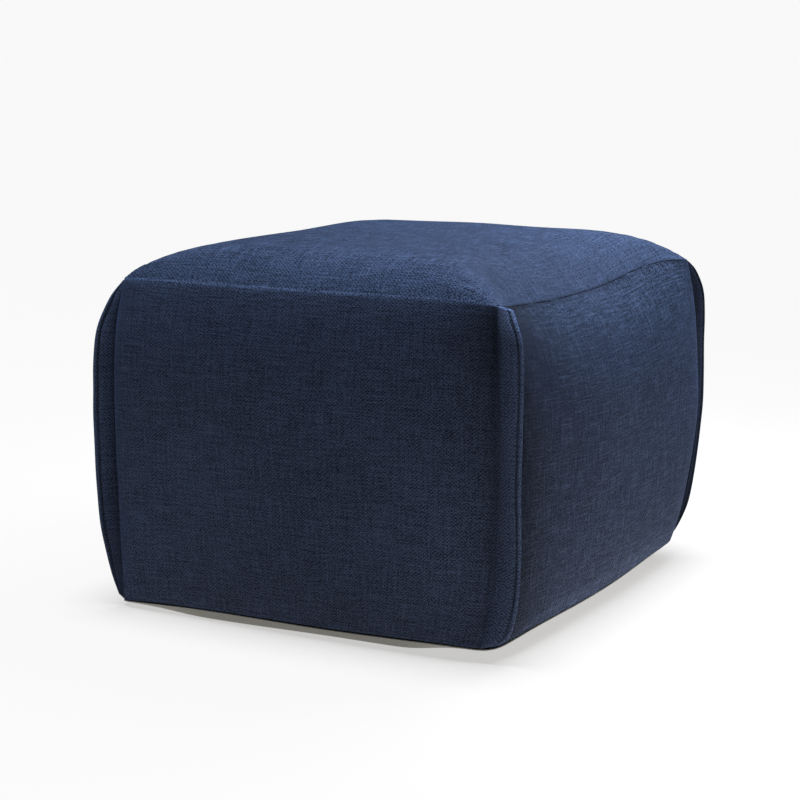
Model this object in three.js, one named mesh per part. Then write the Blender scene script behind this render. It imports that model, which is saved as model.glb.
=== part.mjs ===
// A square floor pouf of slubby navy linen. One filled body carries a crowned top panel, a base panel
// of plain grey cloth, and a pleat pinched out of the side cloth and edge-stitched along each corner.
// Millimetres, +Z up, the front faces -Y, and the origin is on the floor under the pouf's middle.
import * as THREE from "three";

// Filled body: plan size before the faces swell, and the heights of the top seam and the crown.
const bodyWidth = 484;
const bodyDepth = 518;
const seamHeight = 363;
const crownHeight = 404;

// How the body draws in: towards both seams, and into the crease of each corner.
const lowTaper = 0.04;
const topTaper = 0.055;
const cornerTuck = 4;
const tuckReach = 8;

// Fullness of the fill: how squarely the crown and the faces round off, and the swell left at a seam.
const crownPower = 4.8;
const crownFullness = 0.75;
const facePower = 2.2;
const seamSwell = 0.35;
const bellyPower = 0.7;

// How soon the sides, the feet and the base turn towards their seams: a higher power turns later.
const footPower = 2.5;
const topPower = 3;
const liftPower = 4;
const drawPower = 6;
const basePower = 2;

// Sewn edges: cloth thickness, the groove that a seam pulls in, and the room between pieces.
const clothThick = 2;
const seamGroove = 3;
const grooveReach = 5;
const pieceGap = 0.35;

// The part of the base that lies flat on the floor is rounded from this share of a side to the corner.
const cornerRestFrom = 0.55;

// Pleat: half thickness along its reach, with the dent of the edge stitching near the fold.
const pleatProfile = [
  { along: 0.15, half: 3.0 },
  { along: 0.35, half: 2.3 },
  { along: 0.74, half: 2.2 },
  { along: 0.82, half: 1.5 },
  { along: 0.9, half: 2.1 },
  { along: 0.975, half: 1.5 },
  { along: 1.0, half: 0.7 },
];
const fullPleat = 12; // a reach shorter than this makes the pleat thinner too

// Steps of the faceted surfaces; the crown's loops crowd towards its seam.
const sideColumns = 18;
const wallSteps = 16;
const crownSteps = 9;
const crownCrowding = 1.5;
const baseSteps = 4;

// Each side runs from its own corner to the next, anticlockwise seen from above. The seam sags between
// two places along the side, the foot of the side lifts, and the base starts to rest at restInset.
const sides = [
  { along: [1, 0], out: [0, -1], half: bodyWidth / 2, facing: bodyDepth / 2,
    swell: 11, sag: 1, sagFrom: -0.5, sagTo: 0.4, lift: 11, restInset: 18 },
  { along: [0, 1], out: [1, 0], half: bodyDepth / 2, facing: bodyWidth / 2,
    swell: 12, sag: 9, sagFrom: -0.75, sagTo: 0.28, lift: 16, restInset: 45 },
  { along: [-1, 0], out: [0, 1], half: bodyWidth / 2, facing: bodyDepth / 2,
    swell: 10, sag: 3, sagFrom: -0.3, sagTo: 0.6, lift: 9, restInset: 22 },
  { along: [0, -1], out: [-1, 0], half: bodyDepth / 2, facing: bodyWidth / 2,
    swell: 11, sag: 4, sagFrom: -0.6, sagTo: 0.2, lift: 11, restInset: 18 },
];
const sagRamp = 0.2;
const topSwell = seamSwell * Math.max(...sides.map((side) => side.swell));

// Each corner starts the side of the same row. Its foot lifts off the floor and draws in by a share of
// the body, and the base comes down to the floor at a share of the way to the middle. Its pleat has a
// row for each height up the side: how far it stands out, and its lean from the diagonal in degrees.
const corners = [
  { name: "corner_pleat_front_left", lift: 1, draw: 0, rest: 0.05, pleat: [
    { up: 0.0, reach: 5, lean: -6 },
    { up: 0.1, reach: 14, lean: -4 },
    { up: 0.25, reach: 22, lean: 2 },
    { up: 0.6, reach: 23, lean: 0 },
    { up: 0.82, reach: 22, lean: -4 },
    { up: 0.94, reach: 13, lean: -10 },
    { up: 1.0, reach: 5, lean: -14 },
  ] },
  { name: "corner_pleat_front_right", lift: 16, draw: 0.025, rest: 0.26, pleat: [
    { up: 0.0, reach: 16, lean: 36 },
    { up: 0.08, reach: 25, lean: 44 },
    { up: 0.25, reach: 27, lean: 48 },
    { up: 0.45, reach: 24, lean: 45 },
    { up: 0.72, reach: 28, lean: 50 },
    { up: 0.9, reach: 26, lean: 48 },
    { up: 1.0, reach: 15, lean: 42 },
  ] },
  { name: "corner_pleat_back_right", lift: 18, draw: 0.02, rest: 0.26, pleat: [
    { up: 0.0, reach: 7, lean: 4 },
    { up: 0.14, reach: 19, lean: 2 },
    { up: 0.4, reach: 23, lean: -2 },
    { up: 0.7, reach: 26, lean: -4 },
    { up: 0.88, reach: 27, lean: -2 },
    { up: 0.96, reach: 19, lean: 4 },
    { up: 1.0, reach: 8, lean: 8 },
  ] },
  { name: "corner_pleat_back_left", lift: 8, draw: 0.02, rest: 0.16, pleat: [
    { up: 0.0, reach: 8, lean: 8 },
    { up: 0.12, reach: 19, lean: 6 },
    { up: 0.3, reach: 24, lean: 2 },
    { up: 0.6, reach: 23, lean: 6 },
    { up: 0.85, reach: 25, lean: 4 },
    { up: 0.95, reach: 16, lean: -2 },
    { up: 1.0, reach: 6, lean: -6 },
  ] },
];
const firstDiagonal = -135;
const quarterTurn = 90;

const navyLinen = new THREE.MeshStandardMaterial({ color: 0x26304d, roughness: 0.92, metalness: 0 });
const pleatLinen = new THREE.MeshStandardMaterial({ color: 0x222a43, roughness: 0.92, metalness: 0 });
const greyCloth = new THREE.MeshStandardMaterial({ color: 0x96938a, roughness: 0.95, metalness: 0 });

// Goes from 0 to 1 between two values, level at both ends.
function ease(from, to, value) {
  return THREE.MathUtils.smoothstep(value, from, to);
}

// Places from -1 to 1 along a side, crowded near both corners.
function column(step) {
  return -Math.cos((Math.PI * step) / sideColumns);
}

// Heights from 0 to 1 up a side, crowded near both seams.
function wallRow(step) {
  return (1 - Math.cos((Math.PI * step) / wallSteps)) / 2;
}

// Plan outline of the body, with each face swollen between its creases and every corner tucked in.
function outline(side, s, keep, roll, swell) {
  const edge = Math.abs(s);
  const tuck = cornerTuck * Math.exp((-(1 - edge) * side.half) / tuckReach);
  const along = s * (side.half * keep - roll) - Math.sign(s) * tuck;
  const out = side.facing * keep - roll - tuck + swell * (1 - edge ** facePower);
  const x = side.along[0] * along + side.out[0] * out;
  const y = side.along[1] * along + side.out[1] * out;
  return new THREE.Vector3(x, y, 0);
}

// How much the top seam hangs below its straight line.
function seamSag(side, s) {
  const rise = ease(side.sagFrom - sagRamp, side.sagFrom, s);
  return side.sag * rise * (1 - ease(side.sagTo, side.sagTo + sagRamp, s));
}

// A value of the corner that is nearer to a place along a side.
function nearCorner(side, s, key) {
  const at = sides.indexOf(side) + (s > 0 ? 1 : 0);
  return corners[at % corners.length][key];
}

// Height of the bottom seam over the floor.
function footLift(side, s) {
  return side.lift * (1 - s ** liftPower) + nearCorner(side, s, "lift") * s * s;
}

// Share by which the body is drawn in at its foot, most of all at the corners.
function footShrink(side, s) {
  return lowTaper + nearCorner(side, s, "draw") * s ** drawPower;
}

// Share of the way to the middle at which the base comes down to the floor.
function restShare(side, s) {
  const toCorner = ease(cornerRestFrom, 1, Math.abs(s));
  return THREE.MathUtils.lerp(side.restInset / side.facing, nearCorner(side, s, "rest"), toCorner);
}

// Share of the crown's height that is left at a place between the middle and one edge of the top.
function fullness(place, size) {
  const reach = (size / 2) * (1 - topTaper) + topSwell;
  return (1 - Math.abs(place / reach) ** crownPower) ** crownFullness;
}

// Outer face of the top panel: q goes from 0 at the seam to 1 at the middle.
function crown(side, s, q) {
  const spot = outline(side, s, 1 - topTaper, seamGroove, side.swell * seamSwell);
  spot.multiplyScalar(1 - q);
  const rise = (crownHeight - seamHeight) * fullness(spot.x, bodyWidth) * fullness(spot.y, bodyDepth);
  spot.z = seamHeight + rise - seamSag(side, s) * (1 - q) ** crownPower;
  return spot;
}

// Outer face of the base panel: q goes from 0 at the seam to 1 where the base meets the floor.
function base(side, s, q) {
  const spot = outline(side, s, 1 - footShrink(side, s), seamGroove, side.swell * seamSwell);
  spot.multiplyScalar(1 - q * restShare(side, s));
  spot.z = footLift(side, s) * (1 - q) ** basePower;
  return spot;
}

// A point of the crown or the base, moved into the pouf along the normal of its surface.
function inside(surface, side, s, q, depth) {
  const step = 0.001;
  const alongSide = surface(side, s + step, q).sub(surface(side, s - step, q));
  const inward = surface(side, s, q + step).sub(surface(side, s, Math.max(q - step, 0)));
  const normal = alongSide.cross(inward).normalize();
  const turn = surface === crown ? -1 : 1;
  return surface(side, s, q).addScaledVector(normal, turn * depth);
}

// Side face of the filled body, from 0 just over the base panel's rim to 1 just under the top panel's.
function wall(side, s, up) {
  const low = inside(base, side, s, 0, clothThick).z + pieceGap;
  const high = inside(crown, side, s, 0, clothThick).z - pieceGap;
  const keep = 1 - footShrink(side, s) * (1 - up) ** footPower - topTaper * up ** topPower;
  const belly = seamSwell + (1 - seamSwell) * Math.sin(Math.PI * up) ** bellyPower;
  const fromSeam = Math.min(up, 1 - up) * seamHeight;
  const groove = seamGroove * Math.exp(-fromSeam / grooveReach);
  const spot = outline(side, s, keep, groove, side.swell * belly);
  spot.z = THREE.MathUtils.lerp(low, high, up);
  return spot;
}

// A loop of points right round the pouf.
function round(place) {
  const loop = [];
  for (const side of sides) {
    for (let step = 0; step < sideColumns; step += 1) {
      loop.push(place(side, column(step)));
    }
  }
  return loop;
}

// Shares of the way inwards at which the crown and the base have a loop.
const crownShares = Array.from({ length: crownSteps }, (_, step) => (step / crownSteps) ** crownCrowding);
const baseShares = Array.from({ length: baseSteps + 1 }, (_, step) => step / baseSteps);

// Loops of the crown or the base from its seam inwards, at a depth under its outer face.
function rings(surface, shares, depth) {
  return shares.map((q) => round((side, s) => inside(surface, side, s, q, depth)));
}

// Loops of the filled body under a panel; the first one is level with the edge of the side face.
function bed(surface, shares, up) {
  const loops = rings(surface, shares, clothThick + pieceGap);
  const edge = round((side, s) => wall(side, s, up));
  loops[0].forEach((spot, at) => {
    spot.z = edge[at].z;
  });
  return loops;
}

// The one point that closes a surface over the pouf's middle.
function middle(height) {
  return [new THREE.Vector3(0, 0, height)];
}

// Triangles that close the end of a skin whose first or last loop isn't a single point.
function cap(loop, start, facesUp) {
  const flat = loop.map((spot) => new THREE.Vector2(spot.x, spot.y));
  const faces = THREE.ShapeUtils.triangulateShape(flat, []);
  return faces.flatMap(([a, b, c]) => {
    const anticlockwise = flat[b].clone().sub(flat[a]).cross(flat[c].clone().sub(flat[a])) > 0;
    const face = anticlockwise === facesUp ? [a, b, c] : [a, c, b];
    return face.map((at) => start + at);
  });
}

// One closed skin over loops that run anticlockwise seen from above, from the lowest to the highest.
// Each patch between two loops is folded along its shorter diagonal, so parallel skins fold alike.
function skin(loops) {
  const points = loops.flat();
  const faces = [];
  let start = 0;
  if (loops[0].length > 1) {
    faces.push(...cap(loops[0], start, false));
  }
  loops.slice(1).forEach((upper, before) => {
    const lower = loops[before];
    const upperStart = start + lower.length;
    const count = Math.max(lower.length, upper.length);
    for (let at = 0; at < count; at += 1) {
      const next = (at + 1) % count;
      const [a, b] = lower.length > 1 ? [start + at, start + next] : [start, start];
      const [d, c] = upper.length > 1 ? [upperStart + at, upperStart + next] : [upperStart, upperStart];
      const rising = points[a].distanceTo(points[c]) < points[b].distanceTo(points[d]);
      if (a === b) {
        faces.push(a, c, d);
      } else if (c === d) {
        faces.push(a, b, c);
      } else if (rising) {
        faces.push(a, b, c, a, c, d);
      } else {
        faces.push(a, b, d, b, c, d);
      }
    }
    start = upperStart;
  });
  const last = loops[loops.length - 1];
  if (last.length > 1) {
    faces.push(...cap(last, start, true));
  }
  const geometry = new THREE.BufferGeometry().setFromPoints(points);
  geometry.setIndex(faces);
  geometry.computeVertexNormals();
  return geometry;
}

// The filled body: its underside, the side faces between the two seams, and the crown under the panel.
function filledBody() {
  const inset = clothThick + pieceGap;
  const walls = Array.from({ length: wallSteps + 1 }, (_, step) => {
    return round((side, s) => wall(side, s, wallRow(step)));
  });
  return skin([
    middle(inset),
    ...bed(base, baseShares, 0).reverse(),
    ...walls,
    ...bed(crown, crownShares, 1),
    middle(crownHeight - inset),
  ]);
}

// The top panel: a sheet that follows the crown down into the seam's groove.
function topPanel() {
  return skin([
    middle(crownHeight - clothThick),
    ...rings(crown, crownShares, clothThick).reverse(),
    ...rings(crown, crownShares, 0),
    middle(crownHeight),
  ]);
}

// The base panel: a sheet that lies flat on the floor and turns up to the bottom seam.
function basePanel() {
  return skin([
    middle(0),
    ...rings(base, baseShares, 0).reverse(),
    ...rings(base, baseShares, clothThick),
    middle(clothThick),
  ]);
}

// A column of a pleat's table at a height, on a smooth curve through its rows.
function pleatAt(rows, key, up) {
  const next = Math.max(1, rows.findIndex((row) => row.up >= up));
  const [low, high] = [rows[next - 1], rows[next]];
  const [under, over] = [rows[Math.max(next - 2, 0)], rows[Math.min(next + 1, rows.length - 1)]];
  const span = high.up - low.up;
  const lowSlope = ((high[key] - under[key]) / (high.up - under.up)) * span;
  const highSlope = ((over[key] - low[key]) / (over.up - low.up)) * span;
  const t = (up - low.up) / span;
  const rest = 1 - t;
  const ends = low[key] * rest * rest * (1 + 2 * t) + high[key] * t * t * (1 + 2 * rest);
  return ends + t * rest * (lowSlope * rest - highSlope * t);
}

// Section of a pleat at a height: two flanks that meet at the fold, and a root round the crease.
function pleatLoop(at, up) {
  const before = sides[(at + sides.length - 1) % sides.length];
  const after = sides[at];
  const reach = pleatAt(corners[at].pleat, "reach", up);
  const lean = pleatAt(corners[at].pleat, "lean", up);
  const diagonal = THREE.MathUtils.degToRad(firstDiagonal + quarterTurn * at);
  const heading = diagonal + THREE.MathUtils.degToRad(lean);
  const forward = new THREE.Vector3(Math.cos(heading), Math.sin(heading), 0);
  const beside = new THREE.Vector3(Math.sin(heading), -Math.cos(heading), 0);
  const clear = new THREE.Vector3(Math.cos(diagonal), Math.sin(diagonal), 0);
  clear.multiplyScalar(pieceGap * Math.SQRT2);
  const rootBefore = wall(before, column(sideColumns - 1), up).add(clear);
  const crease = wall(after, column(0), up).add(clear);
  const rootAfter = wall(after, column(1), up).add(clear);
  const fullness = Math.min(1, reach / fullPleat);
  const flank = (hand) => pleatProfile.map(({ along, half }) => {
    const spot = crease.clone().addScaledVector(forward, along * reach);
    return spot.addScaledVector(beside, hand * half * fullness);
  });
  return [rootBefore, ...flank(1), ...flank(-1).reverse(), rootAfter, crease];
}

// One corner pleat, from the bottom seam to the top seam.
function cornerPleat(at) {
  return skin(Array.from({ length: wallSteps + 1 }, (_, step) => pleatLoop(at, wallRow(step))));
}

const pouf = new THREE.Group();

function sew(name, geometry, material) {
  const mesh = new THREE.Mesh(geometry, material);
  mesh.name = name;
  pouf.add(mesh);
}

sew("filled_body", filledBody(), navyLinen);
sew("top_panel", topPanel(), navyLinen);
sew("base_panel", basePanel(), greyCloth);
corners.forEach((corner, at) => sew(corner.name, cornerPleat(at), pleatLinen));

export default pouf;
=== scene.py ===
# Looks of the pleated pouf: slubby navy linen sewn over a soft fill, with a pleat pinched out
# along each upright corner and a grey cloth under it. Metres, +Z up, the front faces -Y.
import math

import bpy
import numpy as np
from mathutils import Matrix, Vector
from mathutils.bvhtree import BVHTree


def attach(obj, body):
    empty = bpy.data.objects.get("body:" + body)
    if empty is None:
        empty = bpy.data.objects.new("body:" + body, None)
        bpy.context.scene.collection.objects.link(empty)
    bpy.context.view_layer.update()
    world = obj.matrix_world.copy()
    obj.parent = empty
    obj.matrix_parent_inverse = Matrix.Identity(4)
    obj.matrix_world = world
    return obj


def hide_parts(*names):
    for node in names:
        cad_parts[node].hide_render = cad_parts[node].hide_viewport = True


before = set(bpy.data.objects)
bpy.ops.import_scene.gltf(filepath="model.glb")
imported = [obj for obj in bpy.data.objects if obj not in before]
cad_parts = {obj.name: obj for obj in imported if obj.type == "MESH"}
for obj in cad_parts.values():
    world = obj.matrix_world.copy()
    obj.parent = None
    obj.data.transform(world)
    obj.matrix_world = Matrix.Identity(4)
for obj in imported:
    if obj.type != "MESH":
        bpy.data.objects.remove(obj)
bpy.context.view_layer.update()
bpy.ops.object.select_all(action="DESELECT")
print("frame loaded:", ", ".join(sorted(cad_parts)))

# The filled form that the cloth closes round, with the sizes of the solids
body = {
    "width": 0.484,  # plan size before the faces swell
    "depth": 0.518,
    "seamHeight": 0.363,
    "crownHeight": 0.402,
    "lowTaper": 0.04,  # how far the sides draw in towards each seam
    "topTaper": 0.02,
    "cornerTuck": 0.010,  # how deep the crease of a corner lies
    "tuckReach": 0.014,
    "sagPower": 4.8,  # how soon the top panel leaves the dips of its seam
    "facePower": 2.2,  # how squarely the faces round off
    "pullEdge": 4.0,  # how close to its corners a seam is drawn in
    "seamSwell": 0.35,  # the share of a face's swell that is left at its seams
    "bellyPower": 0.55,  # a lower power swells sooner beside a seam
    "footPower": 2.5,  # a higher power turns later towards the seam
    "topPower": 5.0,
    "liftPower": 4.0,  # how close to its corners a side's foot is lifted
    "drawPower": 6.0,  # how near a corner its foot starts to draw in
    "basePower": 2.0,  # how softly the base turns up from the floor
    "grooveReach": 0.005,  # how far from its seam a groove is felt
    "grooveEdge": 8.0,  # how close to its corners a groove goes
    "placeEdge": 3.0,  # how near a corner its moves take hold
    "cornerRestFrom": 0.55,  # from here along a side its corner sets where the base stands
    "cloth": 0.002,  # between the base's rim and the band's foot
    "seamGap": 0.0004,  # between the band's top edge and the top panel
    "leastFullness": 1e-4,  # keeps the crown's formula finite at its rim
}

# Each side runs from its own corner to the next, anticlockwise seen from above. Rows that start at -1 go
# along the side from corner to corner, and the rows of its painted light go up it, from foot to top seam:
# paler at the foot, where light comes off the floor, and near the top seam, where light falls from above.
# Its tone is painted shade over the whole face, deepest on the right side
plainPaintedLight = [(0, 1.4), (0.25, 1.26), (0.5, 1.14), (1, 1)]
sides = [
    {"along": (1, 0), "out": (0, -1), "half": body["width"] / 2, "facing": body["depth"] / 2,
     "swell": 0.011, "lift": 0.011,
     "restInset": [(-1, 0.004), (-0.4, 0.007), (0.2, 0.018), (1, 0.018)],  # from the rim to where it stands
     "seam": [(-1, 0.364), (-0.85, 0.3665), (0, 0.3662), (0.8, 0.367), (1, 0.363)],  # its top seam's height
     "pullIn": 0.0, "pullPower": 12.0,  # how far the seam is drawn in between its corners
     "groove": 0.0004, "pucker": 0.3, "slubAndReliefShade": 1.25, "tone": 0.92,
     "paintedLight": [(0, 1.42), (0.25, 1.3), (0.5, 1.14), (0.7, 1.0),
              (0.85, 0.9), (0.93, 0.92), (0.975, 1.1), (1, 1.45)],
     "crownPower": [(-1, 10), (1, 11)], "crownFullness": 0.88},  # how squarely the crown rounds off
    {"along": (0, 1), "out": (1, 0), "half": body["depth"] / 2, "facing": body["width"] / 2,
     "swell": 0.012, "lift": 0.016, "restInset": [(-1, 0.085), (1, 0.085)],
     "seam": [(-1, 0.363), (-0.7, 0.3538), (-0.3, 0.3474), (0, 0.3474),
              (0.3, 0.3504), (0.6, 0.359), (0.8, 0.363), (1, 0.361)],
     "pullIn": 0.034, "pullPower": 12.0, "groove": 0.0016, "pucker": 1.0, "slubAndReliefShade": 1.7, "tone": 0.79,
     "paintedLight": [(0, 1.85), (0.25, 1.45), (0.5, 1.18), (0.65, 1.06),
              (0.75, 0.98), (0.83, 1.04), (0.95, 1.38), (1, 1.35)],
     "crownPower": [(-1, 7), (0.3, 7), (1, 11)], "crownFullness": 0.97},
    {"along": (-1, 0), "out": (0, 1), "half": body["width"] / 2, "facing": body["depth"] / 2,
     "swell": 0.010, "lift": 0.009, "restInset": [(-1, 0.022), (1, 0.022)],
     "seam": [(-1, 0.361), (-0.5, 0.36), (0, 0.359), (0.5, 0.36), (1, 0.361)],
     "pullIn": 0.012, "pullPower": 10.0, "groove": 0.002, "pucker": 0.5, "slubAndReliefShade": 1.2, "tone": 0.96,
     "paintedLight": plainPaintedLight,
     "crownPower": [(-1, 11), (-0.6, 6.6), (1, 7)], "crownFullness": 0.85},
    {"along": (0, -1), "out": (-1, 0), "half": body["depth"] / 2, "facing": body["width"] / 2,
     "swell": 0.011, "lift": 0.011, "restInset": [(-1, 0.018), (1, 0.018)],
     "seam": [(-1, 0.361), (-0.5, 0.359), (0, 0.358), (0.5, 0.36), (1, 0.364)],
     "pullIn": 0.013, "pullPower": 10.0, "groove": 0.002, "pucker": 0.6, "slubAndReliefShade": 1.45, "tone": 0.96,
     "paintedLight": plainPaintedLight,
     "crownPower": [(-1, 6.5), (1, 4.9)], "crownFullness": 0.88},
]

# Each corner starts the side of the same row. Its place has a row of moves out of the box for each height,
# and its pleat a row of sizes: up the side, reach out of the crease, lean from the diagonal in degrees,
# flare of the crease, rise of the fold over the crease. Its shade gives how deep the painted shade is on
# the face before the crease and on the face after it, and how far from the crease it reaches. Its pleat
# shading is painted light and shade over the whole pleat, darkest at the back right. The top end of a pleat
# has a painted highlight of its own, and the cloth in the pocket behind that end has a painted shadow
corners = [
    {"node": "corner_pleat_front_left", "diagonal": -135,
     "lift": 0.0045, "liftEdge": 6, "draw": -0.03, "rest": 0.1,
     "shade": ((0.25, 0.03), (-0.14, 0.16)), "pleatPaintedShading": 1.04, "endPaintedHighlight": 1.5, "pocketPaintedShadow": 0.4,
     "place": [(0.0, 0.0, 0.0), (0.5, 0.0, 0.0), (0.85, 0.001, 0.001), (1.0, 0.006, 0.005)],
     "pleat": [(0.0, 0.0055, -6, 0, 0.006), (0.1, 0.0135, -4, 0, 0), (0.25, 0.022, 2, 0, 0),
               (0.45, 0.024, 0, 0, 0), (0.82, 0.023, -4, 0, 0), (0.94, 0.013, -10, 0, 0),
               (1.0, 0.002, -14, 0, -0.002)]},
    {"node": "corner_pleat_front_right", "diagonal": -45,
     "lift": 0.0115, "liftEdge": 2, "draw": 0.025, "rest": 0.34,
     "shade": ((0.42, 0.04), (0.62, 0.1)), "pleatPaintedShading": 1.0, "endPaintedHighlight": 2.4, "pocketPaintedShadow": 0.75,
     "place": [(0.0, 0.0, 0.0), (0.5, 0.001, 0.0), (1.0, 0.001, 0.0)],
     "pleat": [(0.0, 0.012, 30, 0.016, 0.006), (0.035, 0.023, 36, 0.012, 0.003),
               (0.1, 0.029, 38, 0.006, 0.001), (0.25, 0.031, 38, 0, 0), (0.45, 0.027, 38, 0, 0),
               (0.72, 0.028, 38, 0, 0), (0.9, 0.027, 38, 0, 0), (1.0, 0.017, 38, 0, -0.003)]},
    {"node": "corner_pleat_back_right", "diagonal": 45,
     "lift": 0.018, "liftEdge": 2, "draw": 0.02, "rest": 0.36,
     "shade": ((0.2, 0.03), (0.25, 0.03)), "pleatPaintedShading": 0.42, "endPaintedHighlight": 1.0, "pocketPaintedShadow": 0.4,
     "place": [(0.0, 0.003, 0.004), (0.15, 0.008, 0.011), (0.45, 0.013, 0.017), (0.75, 0.009, 0.012),
               (1.0, 0.006, 0.008)],
     "pleat": [(0.0, 0.003, 4, 0, 0.002), (0.045, 0.010, 6, 0, 0), (0.14, 0.017, 10, 0, 0),
               (0.4, 0.016, 24, 0, 0), (0.7, 0.022, 29, 0, 0), (0.88, 0.026, 27, 0, 0),
               (0.96, 0.015, 28, 0, 0), (1.0, 0.003, 26, 0, -0.002)]},
    {"node": "corner_pleat_back_left", "diagonal": 135,
     "lift": 0.008, "liftEdge": 2, "draw": 0.02, "rest": 0.16,
     "shade": ((0.25, 0.03), (0.25, 0.03)), "pleatPaintedShading": 0.9, "endPaintedHighlight": 1.4, "pocketPaintedShadow": 0.4,
     "place": [(0.0, 0.0, 0.0), (0.5, 0.0, 0.004), (0.85, 0.0, 0.004), (1.0, 0.004, 0.0)],
     "pleat": [(0.0, 0.003, 8, 0, 0.002), (0.05, 0.012, 7, 0, 0), (0.12, 0.019, 6, 0, 0),
               (0.3, 0.024, 2, 0, 0), (0.6, 0.023, 6, 0, 0), (0.85, 0.025, 4, 0, 0),
               (0.95, 0.014, -2, 0, 0), (1.0, 0.0025, -6, 0, -0.002)]},
]
tiny = 1e-9  # keeps a division by a length from failing


def ease(low, high, value):
    t = np.clip((value - low) / (high - low), 0, 1)
    return t * t * (3 - 2 * t)


# Smooth random values from -1 to 1 along a line, and over a surface
knotCount = {"line": 4096, "surface": 256}


def wander(place, step, seed):
    count = knotCount["line"]
    knots = np.random.default_rng(seed).uniform(-1, 1, count)
    spot = np.asarray(place) / step
    low = np.floor(spot).astype(int)
    t = ease(0, 1, spot - low)
    return knots[low % count] * (1 - t) + knots[(low + 1) % count] * t


def cloud(across, upward, step, seed):
    count = knotCount["surface"]
    knots = np.random.default_rng(seed).uniform(-1, 1, (count, count))
    a, b = np.asarray(across) / step, np.asarray(upward) / step
    i, j = np.floor(a).astype(int), np.floor(b).astype(int)
    s, t = ease(0, 1, a - i), ease(0, 1, b - j)
    low = knots[i % count, j % count] * (1 - s) + knots[(i + 1) % count, j % count] * s
    high = knots[i % count, (j + 1) % count] * (1 - s) + knots[(i + 1) % count, (j + 1) % count] * s
    return low * (1 - t) + high * t


# Places from 0 to a length, close together at both ends
def crowded(length, fine, coarse, growth):
    near = [0.0]
    while near[-1] < length / 2:
        near.append(near[-1] + min(coarse, fine + growth * near[-1]))
    near = np.array(near) * length / 2 / near[-1]
    return np.concatenate([near, length - near[-2::-1]])


def nearCorner(at, s, key):
    return np.where(s > 0, corners[(at + 1) % 4][key], corners[at][key])


# Plan outline of the body, with each face swollen and every corner tucked in
def outline(side, s, keep, dent, swell):
    edge = np.abs(s)
    tuck = body["cornerTuck"] * np.exp(-(1 - edge) * side["half"] / body["tuckReach"])
    along = s * side["half"] * keep - np.sign(s) * tuck
    out = side["facing"] * keep - dent - tuck + swell * (1 - edge ** body["facePower"])
    return along[:, None] * np.array(side["along"]) + out[:, None] * np.array(side["out"])


# A smooth curve through rows whose first number is the place
def curveAt(rows, place):
    table = np.array(rows, float)
    last = len(table) - 1
    high = np.clip(np.searchsorted(table[:, 0], place), 1, last)
    low, under, over = high - 1, np.maximum(high - 2, 0), np.minimum(high + 1, last)
    span = table[high, :1] - table[low, :1]
    lowSlope = (table[high] - table[under]) / (table[high, :1] - table[under, :1]) * span
    highSlope = (table[over] - table[low]) / (table[over, :1] - table[low, :1]) * span
    t = (np.reshape(place, (-1, 1)) - table[low, :1]) / span
    ends = table[low] * (1 - t) ** 2 * (1 + 2 * t) + table[high] * t * t * (3 - 2 * t)
    return (ends + t * (1 - t) * (lowSlope * (1 - t) - highSlope * t))[:, 1:]


def footLift(at, s):
    corner = nearCorner(at, s, "lift") * np.abs(s) ** nearCorner(at, s, "liftEdge")
    return sides[at]["lift"] * (1 - s ** body["liftPower"]) + corner


def footShrink(at, s):
    return body["lowTaper"] + nearCorner(at, s, "draw") * s ** body["drawPower"]


# How far the corners at both ends of a side move its places
def cornerShift(at, s, up):
    first, second = (curveAt(corners[k % 4]["place"], up) for k in (at, at + 1))
    nearFirst, nearSecond = (((1 + way * s) / 2)[:, None] ** body["placeEdge"] for way in (-1, 1))
    return nearFirst * first + nearSecond * second


# How far the top seam is drawn in at a place along its side, and how deep a seam lies in its groove
def pullIn(side, s):
    return side["pullIn"] * (1 - np.abs(s) ** body["pullEdge"])


def grooveAt(side, s):
    return side["groove"] * (1 - np.abs(s) ** body["grooveEdge"])


# Share of the crown's height that is left between the middle and the seams of two sides across it
def fullness(place, across, less, more):
    full = np.zeros(len(place))
    for at, mine in ((less, place < 0), (more, place >= 0)):
        side = sides[at]
        s = np.clip(across / (side["half"] * (1 - body["topTaper"])), -1, 1) * sum(side["along"])
        swell = side["swell"] * body["seamSwell"] * (1 - np.abs(s) ** body["facePower"])
        reach = side["facing"] * (1 - body["topTaper"]) - grooveAt(side, s) + swell - pullIn(side, s)
        reach += cornerShift(at, s, 1.0) @ np.array(side["out"])
        share = np.minimum(np.abs(place) / reach, 1)
        full[mine] = ((1 - share ** curveAt(side["crownPower"], s)[:, 0]) ** side["crownFullness"])[mine]
    return full


def crownRise(plan):
    x, y = plan[:, 0], plan[:, 1]
    one = np.maximum(fullness(x, y, 3, 1), body["leastFullness"])
    two = np.maximum(fullness(y, x, 0, 2), body["leastFullness"])
    return (body["crownHeight"] - body["seamHeight"]) / np.sqrt(one ** -2 + two ** -2 - 1)


# The crown over the top seam: q goes from 0 at the seam to 1 at the middle
def crown(at, s, q):
    side = sides[at]
    swell = side["swell"] * body["seamSwell"]
    rim = outline(side, s, 1 - body["topTaper"], grooveAt(side, s) + pullIn(side, s), swell)
    rim += cornerShift(at, s, 1.0)
    plan = rim * np.reshape(1 - q, (-1, 1))
    dip = curveAt(side["seam"], s)[:, 0] - body["seamHeight"] - crownRise(rim)
    return np.column_stack([plan, body["seamHeight"] + crownRise(plan) + dip * (1 - q) ** body["sagPower"]])


# The base under the bottom seam: q goes from 0 at the seam to 1 where it meets the floor
def base(at, s, q):
    side = sides[at]
    keep = 1 - footShrink(at, s)
    rim = outline(side, s, keep, grooveAt(side, s), side["swell"] * body["seamSwell"])
    toCorner = ease(body["cornerRestFrom"], 1, np.abs(s))
    rest = curveAt(side["restInset"], s)[:, 0] / side["facing"] * (1 - toCorner)
    rest += nearCorner(at, s, "rest") * toCorner
    plan = rim * np.reshape(1 - q * rest, (-1, 1))
    return np.column_stack([plan, footLift(at, s) * (1 - np.minimum(q, 1)) ** body["basePower"]])


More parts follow.
